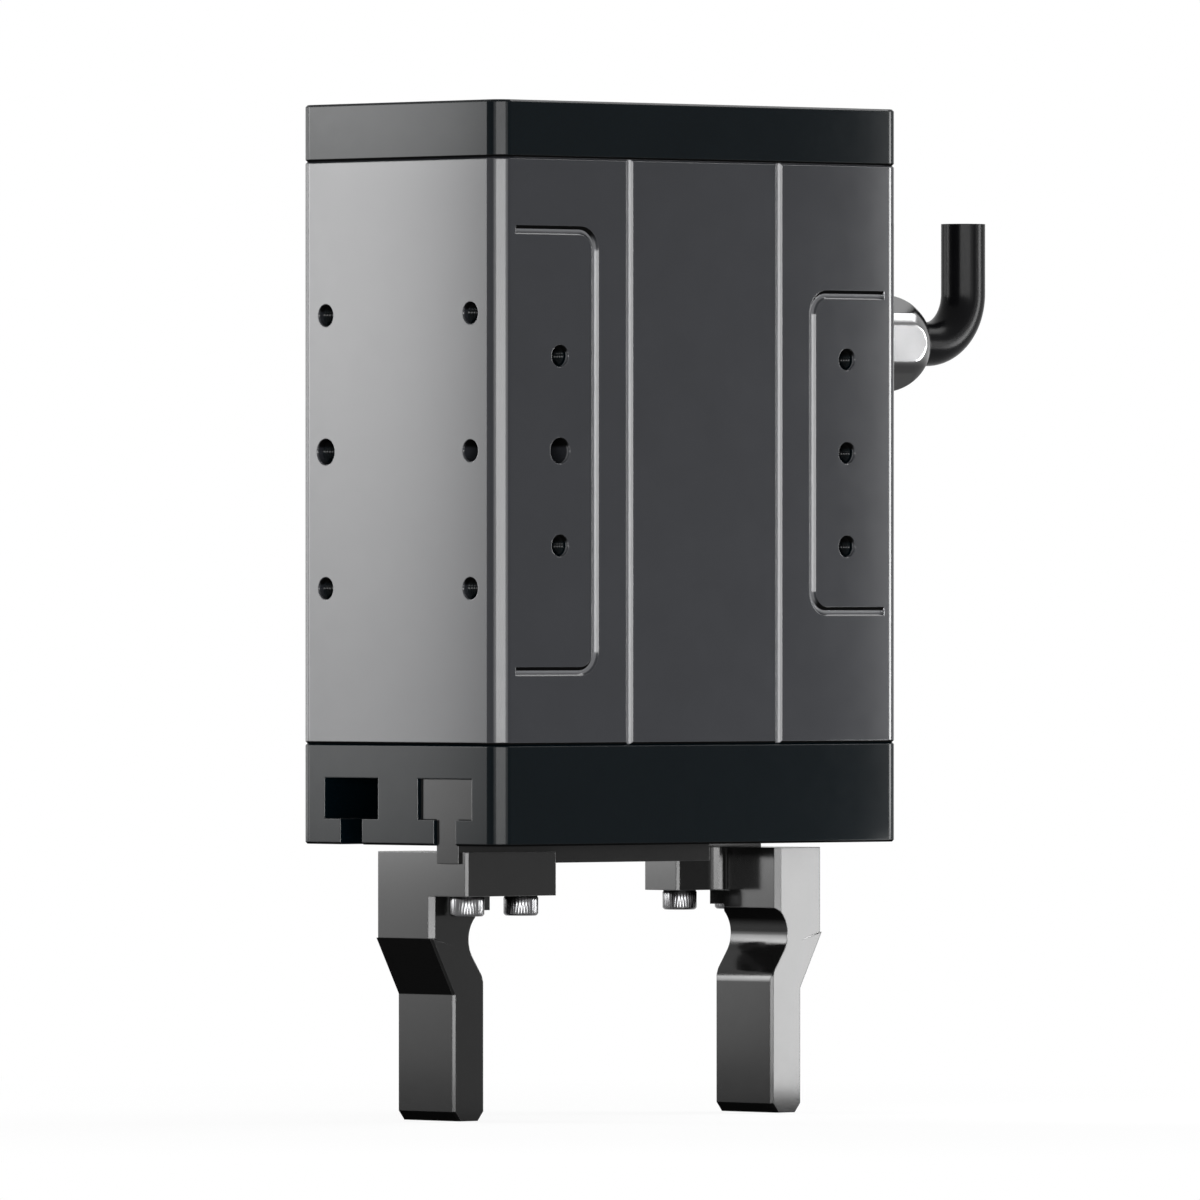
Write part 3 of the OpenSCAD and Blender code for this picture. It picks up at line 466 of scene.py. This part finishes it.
# %% Finger screws
head_tall = 4 * mm
socket_half = 1.5 * mm
socket_deep = 2.2 * mm
lead_in_r = 1.86 * mm
lead_in_deep = 0.12 * mm
rim_in = 0.42 * mm
rim_middle_in = 0.26 * mm
knurl_from = 0.42 * mm
knurl_to = head_tall - 0.45 * mm
knurl_deep = 0.05 * mm
knurl_ridges = 36
neck_from = head_tall - 0.2 * mm
neck_in = 0.16 * mm
shank_r = 2 * mm
tip_r = 1.6 * mm
tip_tall = 0.5 * mm


def hexagon(angle):
    return socket_half / math.cos((angle + math.pi / 6) % (math.pi / 3) - math.pi / 6)


def knurled(reach):
    return lambda angle: reach - knurl_deep * (0.5 - 0.5 * math.cos(knurl_ridges * angle))


for side in ("left", "right"):
    low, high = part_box(f"{side}_finger_screws")
    head_r = (high.y - low.y) / 2
    rings = [
        (socket_deep, 0),
        (socket_deep, hexagon),
        (lead_in_deep, hexagon),
        (0, lead_in_r),
        (0, head_r - rim_in),
        (lead_in_deep, head_r - rim_middle_in),
        (knurl_from, knurled(head_r - 0.02 * mm)),
        (knurl_to, knurled(head_r)),
        (neck_from, head_r - neck_in),
        (head_tall, head_r - neck_in),
        (head_tall, shank_r),
        (high.z - low.z - tip_tall, shank_r),
        (high.z - low.z, tip_r),
        (high.z - low.z, 0),
    ]
    shape = bmesh.new()
    for x in (low.x + head_r, high.x - head_r):
        turn(shape, rings, 6 * knurl_ridges, Vector((x, (low.y + high.y) / 2, low.z)))
    screws = finish_piece(f"{side}_knurled_screws", shape, "screw_steel", f"{side}_jaw")
    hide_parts(f"{side}_finger_screws")

# %% [markdown]
# ## Threads in the tapped holes
# The CAD holes are plain bores. A tapped hole is lined with thread turns in a near-black finish, which
# is painted shade for the inside of the hole.
# The lining is one strip wound round the bore: it rises to a crest and falls back to the root once
# in each turn, so the turns join into a threaded sleeve. The crest grows from nothing over the
# first half turn, as a tap leaves it. Where the holes are comes from the bolt patterns in the
# record, and a fifth tapped hole sits halfway up on one side of each pattern.

# %% Threads
pitch = 0.7 * mm
thread_high = 0.36 * mm
thread_start = 0.6 * mm
steps_a_turn = 24
clear_of_bore = 0.02 * mm


def wind(shape, mouth, inwards, radius, deep):
    """Adds a threaded lining to a bore."""
    across_one = inwards.orthogonal().normalized()
    across_two = inwards.cross(across_one)
    root = radius - clear_of_bore
    last = None
    for k in range(int((deep - thread_start - pitch) / pitch * steps_a_turn)):
        turns = k / steps_a_turn
        angle = 2 * math.pi * turns
        out = across_one * math.cos(angle) + across_two * math.sin(angle)
        crest = thread_high * min(1, 2 * turns)
        row = []
        for along, reach in ((0, root), (0.5, root - crest), (1, root)):
            down = thread_start + (turns + along) * pitch
            row.append(shape.verts.new(mouth + inwards * down + out * reach))
        if last:
            for i in (0, 1):
                shape.faces.new((last[i], last[i + 1], row[i + 1], row[i]))
        last = row


hole_deep = {"wide_face_bolts": 6.5 * mm, "side_face_bolts": 9 * mm, "cable_side_bolts": 9 * mm}
for mount in frame["record"]["mounts"]:
    if mount["name"] not in hole_deep:
        continue
    centre, outwards = Vector(mount["pos_m"]), Vector(mount["axis"])
    level = Vector((0, 0, 1)).cross(outwards)
    half_wide = mount["dims"]["spacing_x_mm"] * mm / 2
    half_tall = mount["dims"]["spacing_y_mm"] * mm / 2
    fifth = 1 if level.x > 0 else -1
    places = [(i, j) for i in (-1, 1) for j in (-1, 1)] + [(fifth, 0)]
    shape = bmesh.new()
    for i, j in places:
        mouth = centre + level * i * half_wide + Vector((0, 0, j * half_tall))
        wind(shape, mouth, -outwards, mount["dims"]["hole_r_mm"] * mm, hole_deep[mount["name"]])
    # The lining takes the near-black finish as painted shade for the inside of the hole.
    finish_piece(mount["name"] + "_threads", shape, "dark_anodised", "housing", 25)

# %% [markdown]
# ## The gland nut
# The cable leaves through a gland. Its nut is a hexagon whose outer end is turned to a dome, so
# that the flats end in round scallops. On the lathe that is simple: every ring takes the smaller of
# the hexagon's radius and the dome's. The flats face level, so one of them looks at the camera
# side.

# %% Gland nut
nut_low, nut_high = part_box("gland_nut")
nut_axis = Vector((0, (nut_low.y + nut_high.y) / 2, (nut_low.z + nut_high.z) / 2))
cable_low, cable_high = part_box("cable")
half_flat = 9.25 * mm
recess_r = 7.4 * mm
recess_deep = 4 * mm
dome_r = 10.0 * mm
dome_steps = 24
dome_centre = nut_low.x + 15.2 * mm
back_chamfer = 0.5 * mm
back_tall = 0.6 * mm
lip = 0.3 * mm
bore_r = (cable_high.y - cable_low.y) / 2 + lip
mouth_r = bore_r + 0.9 * mm
mouth_x = dome_centre + math.sqrt(dome_r ** 2 - mouth_r ** 2)


def flats_within(limit):
    return lambda angle: min(limit, half_flat / math.cos(angle % (math.pi / 3) - math.pi / 6))


rings = [
    (nut_low.x + recess_deep, recess_r),
    (nut_low.x, recess_r),
    (nut_low.x, half_flat - back_chamfer),
    (nut_low.x + back_tall, flats_within(dome_r)),
    (dome_centre, flats_within(dome_r)),
]
for k in range(1, dome_steps + 1):
    place = dome_centre + (mouth_x - dome_centre) * k / dome_steps
    rings.append((place, flats_within(math.sqrt(dome_r ** 2 - (place - dome_centre) ** 2))))
rings += [
    (mouth_x + lip, mouth_r - lip),
    (mouth_x + lip, bore_r + lip),
    (mouth_x, bore_r),
    (mouth_x - 10 * lip, bore_r),
]
shape = bmesh.new()
turn(shape, rings, 180, Vector((0, 0, 0)))
lay = Matrix.Translation(nut_axis) @ Matrix.Rotation(math.radians(90), 4, "Y")
bmesh.ops.transform(shape, matrix=lay, verts=shape.verts)
nut = finish_piece("domed_gland_nut", shape, "gland_metal", "housing", 20)
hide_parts("gland_nut")

# %% [markdown]
# ## The floor
# The floor is pale and plain. Its diffuse share takes the gripper's soft shadow, and its glowing
# share shows pure white to the camera and in mirror images. Far from the gripper there is no shadow
# to keep, so there it is all white. Right beneath the gripper its mirror image is the real shaded
# floor, so that undersides stay dark.

# %% Floor finish
keep_shadow = 0.1
pure_white = (1, 1, 1, 1)
floor_bench = Bench("pale_floor")
path = floor_bench.node("ShaderNodeLightPath")
direct = path["Is Camera Ray"] + path["Is Transmission Ray"]
mirrored = path["Is Glossy Ray"]
spot = floor_bench.here()
reach = floor_bench.node("ShaderNodeVectorMath", {"operation": "LENGTH"}, {0: spot})["Value"]
far = floor_bench.level(reach, 0.08, 0.3)
beneath = 1 - floor_bench.level(reach, 0.06, 0.14)
matt = floor_bench.node("ShaderNodeBsdfDiffuse", None, {"Color": (0.8, 0.8, 0.8, 1)})["BSDF"]
white = floor_bench.node("ShaderNodeEmission", None, {"Color": pure_white})["Emission"]
share = direct * (1 - keep_shadow + far * keep_shadow) + mirrored * (1 - beneath)
both = floor_bench.node("ShaderNodeMixShader", None, {0: share, 1: matt, 2: white})
floor_bench.node("ShaderNodeOutputMaterial", None, {"Surface": both["Shader"]})
print("the floor keeps", keep_shadow, "of its shadow")

# %% [markdown]
# ## The floor's disc
# The disc is so wide that its rim lies behind the horizon of any view. It lies a hair below the
# fingertips, so that the two never share a surface, which would flicker.

# %% Floor
floor_z = cad_low.z - 0.2 * mm
floor_r = 25
floor_mesh = bpy.data.meshes.new("floor")
shape = bmesh.new()
bmesh.ops.create_circle(shape, cap_ends=True, segments=96, radius=floor_r)
bmesh.ops.translate(shape, verts=shape.verts, vec=(0, 0, floor_z))
shape.to_mesh(floor_mesh)
shape.free()
floor_mesh.materials.append(floor_bench.material)
floor = bpy.data.objects.new("floor", floor_mesh)
bpy.context.scene.collection.objects.link(floor)
print("floor lies at", round(floor_z, 4))

# %% [markdown]
# ## The room
# The room is white where it is seen or mirrored, and gives a low even light where it only lights a
# face.

# %% World
world = bpy.data.worlds.new("studio")
bpy.context.scene.world = world
world.use_nodes = True
sky = Bench("studio", world.node_tree)
path = sky.node("ShaderNodeLightPath")
seen = path["Is Camera Ray"] + path["Is Glossy Ray"] + path["Is Transmission Ray"]
room_light = 0.3
strength = room_light + seen * (1 - room_light)
glow = sky.node("ShaderNodeBackground", None, {"Color": pure_white, "Strength": strength})
sky.node("ShaderNodeOutputWorld", None, {"Surface": glow["Background"]})
print("the room lights at", room_light)

# %% [markdown]
# ## Softboxes
# A softbox is a flat lamp. What counts on a glossy face is how bright the lamp's own surface is, so
# its power is worked out from a brightness and its area. A gel can dim it towards an edge, as a
# graduated sheet does in front of a studio lamp, and a face that mirrors it then falls off softly.
# The gel's two ramps, one up and one along the lamp, are multiplied.

# %% Softboxes
def softbox(name, middle, faces, wide, tall, glow, rising=None, along=None):
    """A flat lamp. rising and along are its gel's stops: place on the lamp, share of the light."""
    data = bpy.data.lights.new(name, "AREA")
    data.shape = "RECTANGLE"
    data.size, data.size_y = wide, tall
    data.energy = glow * wide * tall * math.pi
    if rising:
        data.use_nodes = True
        gel = Bench(name, data.node_tree)
        place = gel.split(gel.node("ShaderNodeNewGeometry")["Parametric"])
        upwards = gel.ramp(place["Y"], *((0.5 + stop / tall, share) for stop, share in rising))
        aside = gel.ramp(place["X"], *((0.5 + stop / wide, share) for stop, share in along))
        settings = {"data_type": "RGBA", "blend_type": "MULTIPLY"}
        sheet = gel.node("ShaderNodeMix", settings, {0: 1.0, 6: upwards, 7: aside})["Result"]
        light = gel.node("ShaderNodeEmission", None, {"Color": sheet})["Emission"]
        gel.node("ShaderNodeOutputLight", None, {"Surface": light})
    lamp = bpy.data.objects.new(name, data)
    bpy.context.scene.collection.objects.link(lamp)
    lamp.location = middle
    lamp.rotation_euler = Vector(faces).to_track_quat("-Z", "Y").to_euler()
    lamp.visible_camera = False
    print(name, "at", [round(v, 3) for v in middle])


# %% [markdown]
# ## Lamps where the faces mirror them
# All points of a flat face mirror one direction, because the camera is far away. A strip lamp
# across that path lights the whole face, and the strip's edges fall where the face should end dark.
# The edges are measured sideways from the path through the middle of the gripper, and upwards. A
# gel's stops are measured the same way, so they are turned round where the lamp's own width runs
# the other way.

# %% Strip lamps
sideways = Vector((math.cos(camera_turn), math.sin(camera_turn), 0))
left_face = Vector((-1, 0, 0))
right_face = Vector((0, -1, 0))


def strip(name, face, away, near, far, low, high, glow, rising=None, along=None):
    """A lamp that a face with this outward direction mirrors to the camera."""
    out = look - 2 * look.dot(face) * face
    middle = out * away + sideways * (near + far) / 2 + Vector((0, 0, (low + high) / 2))
    if rising:
        rising = [(stop - (low + high) / 2, share) for stop, share in rising]
        own_width = Vector((0, 0, 1)).cross(out)
        turned = 1 if own_width.dot(sideways) > 0 else -1
        along = sorted((turned * (stop - (near + far) / 2), share) for stop, share in along)
    softbox(name, middle, -out, far - near, high - low, glow, rising, along)


print("the left faces mirror", [round(v, 3) for v in look - 2 * look.dot(left_face) * left_face])

# %% [markdown]
# ## The key lamp
# The narrow face, the slider's end and the outsides of the fingers all face left, so one strip
# lights them all. Its gel is brightest at the top and dims towards the bottom and towards the near
# corner, and so do the faces that mirror it. Low down it dims quickly, because the fingers' steel
# mirrors more than the anodised faces.

# %% Key lamp
finger_heights = ((-0.066, 0.027), (-0.030, 0.094), (-0.0155, 0.142), (-0.0085, 0.20))
body_heights = (
    (-0.0033, 0.33), (0.013, 0.42), (0.045, 0.50), (0.098, 0.65), (0.126, 0.70), (0.144, 0.70))
cap_heights = ((0.153, 0.91),)
narrow_face_places = (
    (-0.066, 0.13), (-0.0577, 0.31), (-0.0484, 0.55), (-0.0397, 0.68), (-0.0217, 0.79), (-0.010, 0.80))
right_finger_places = ((-0.002, 0.20), (0.008, 0.20), (0.020, 1.0))
key_rising = finger_heights + body_heights + cap_heights
key_along = narrow_face_places + right_finger_places
strip(
    "key", left_face, away=0.36, near=-0.066, far=0.056, low=-0.066, high=0.19, glow=30,
    rising=key_rising, along=key_along)

# %% [markdown]
# ## Lamps for the faces that look right
# The wide face stays dark, so it has no lamp of its own. A narrow strip beside its path lightens
# its far end and the front of the right finger, a faint one gives the flat of the gland nut its
# grey, and a low, near one reaches the part of the finger that would otherwise mirror the floor.

# %% Right side lamps
strip(
    "right_edge", right_face, away=0.30, near=0.023, far=0.038, low=-0.002, high=0.165, glow=10,
    rising=((0, 0.65), (0.165, 1.0)), along=((0, 1.0),))
strip("gland_side", right_face, away=0.30, near=0.041, far=0.066, low=0.075, high=0.14, glow=1.4)
strip("low_right", right_face, away=0.15, near=0.018, far=0.042, low=-0.0546, high=-0.001, glow=22)

# %% [markdown]
# ## Lamps for the rounded corners
# A rounded corner mirrors a whole fan of directions. Three broad softboxes side by side, taller
# than the gripper, draw the bright line down the near corner and every chamfer, and two weaker ones
# soften the line's sides. One lamp at the far right draws the line down the right corner, and one
# at the far left keeps the left corner from going dark. Each is placed by how far it is turned from
# the camera and how many degrees it fills.

# %% Corner lamps
corner_r = 3.4 * mm
middle = Vector((0, 0, 0))
right_corner = Vector((housing_high.x - corner_r, housing_low.y + corner_r, 0))
left_corner = Vector((housing_low.x + corner_r, housing_high.y - corner_r, 0))


def towards(turned):
    """The level direction this many degrees to the left of the camera's side."""
    angle = camera_turn + math.radians(turned)
    return Vector((-math.sin(angle), -math.cos(angle), 0))


def panel(name, start, turned, spread, away, height, tall, glow):
    """A softbox that fills spread degrees of the view from start."""
    out = towards(turned)
    wide = 2 * away * math.tan(math.radians(spread) / 2)
    softbox(name, start + out * away + Vector((0, 0, height)), -out, wide, tall, glow)


for name, turned in (("front_left", 13), ("front_middle", -8), ("front_right", -29)):
    panel(name, middle, turned, spread=21, away=2.0, height=0.105, tall=0.31, glow=22)
for name, turned in (("soft_left", 31.5), ("soft_right", -47.5)):
    panel(name, middle, turned, spread=16, away=2.0, height=0.105, tall=0.31, glow=6)
panel("right_corner", right_corner, -102.5, spread=13, away=0.4, height=0.080, tall=0.17, glow=28)
panel("left_corner", left_corner, 125, spread=24, away=0.4, height=0.080, tall=0.17, glow=5)

# %% [markdown]
# ## A low strip for the fingertips
# Seen from level, the fingertips mirror the floor within a few hand widths, in front of the broad
# softboxes. So a small strip lies low and near, just where the chamfers of both fingers and the
# screw heads mirror it.

# %% Low strip
low_out = towards(5.2)
low_place = low_out * 0.3 + Vector((0, 0, -0.037))
softbox("low_front", low_place, -low_out, wide=0.11, tall=0.036, glow=10.5)

# %% [markdown]
# ## Light from above
# Edges and groove sides that lean upwards mirror the ceiling on the far side, so a smaller softbox
# hangs there.

# %% Top light
above = Vector((0.66, -0.16, 0.73))
softbox("ceiling", above * 0.9, -above, wide=0.34, tall=0.34, glow=7)

# %% [markdown]
# ## View
# Standard view keeps colours as written.

# %% Finish
bpy.context.scene.view_settings.view_transform = "Standard"
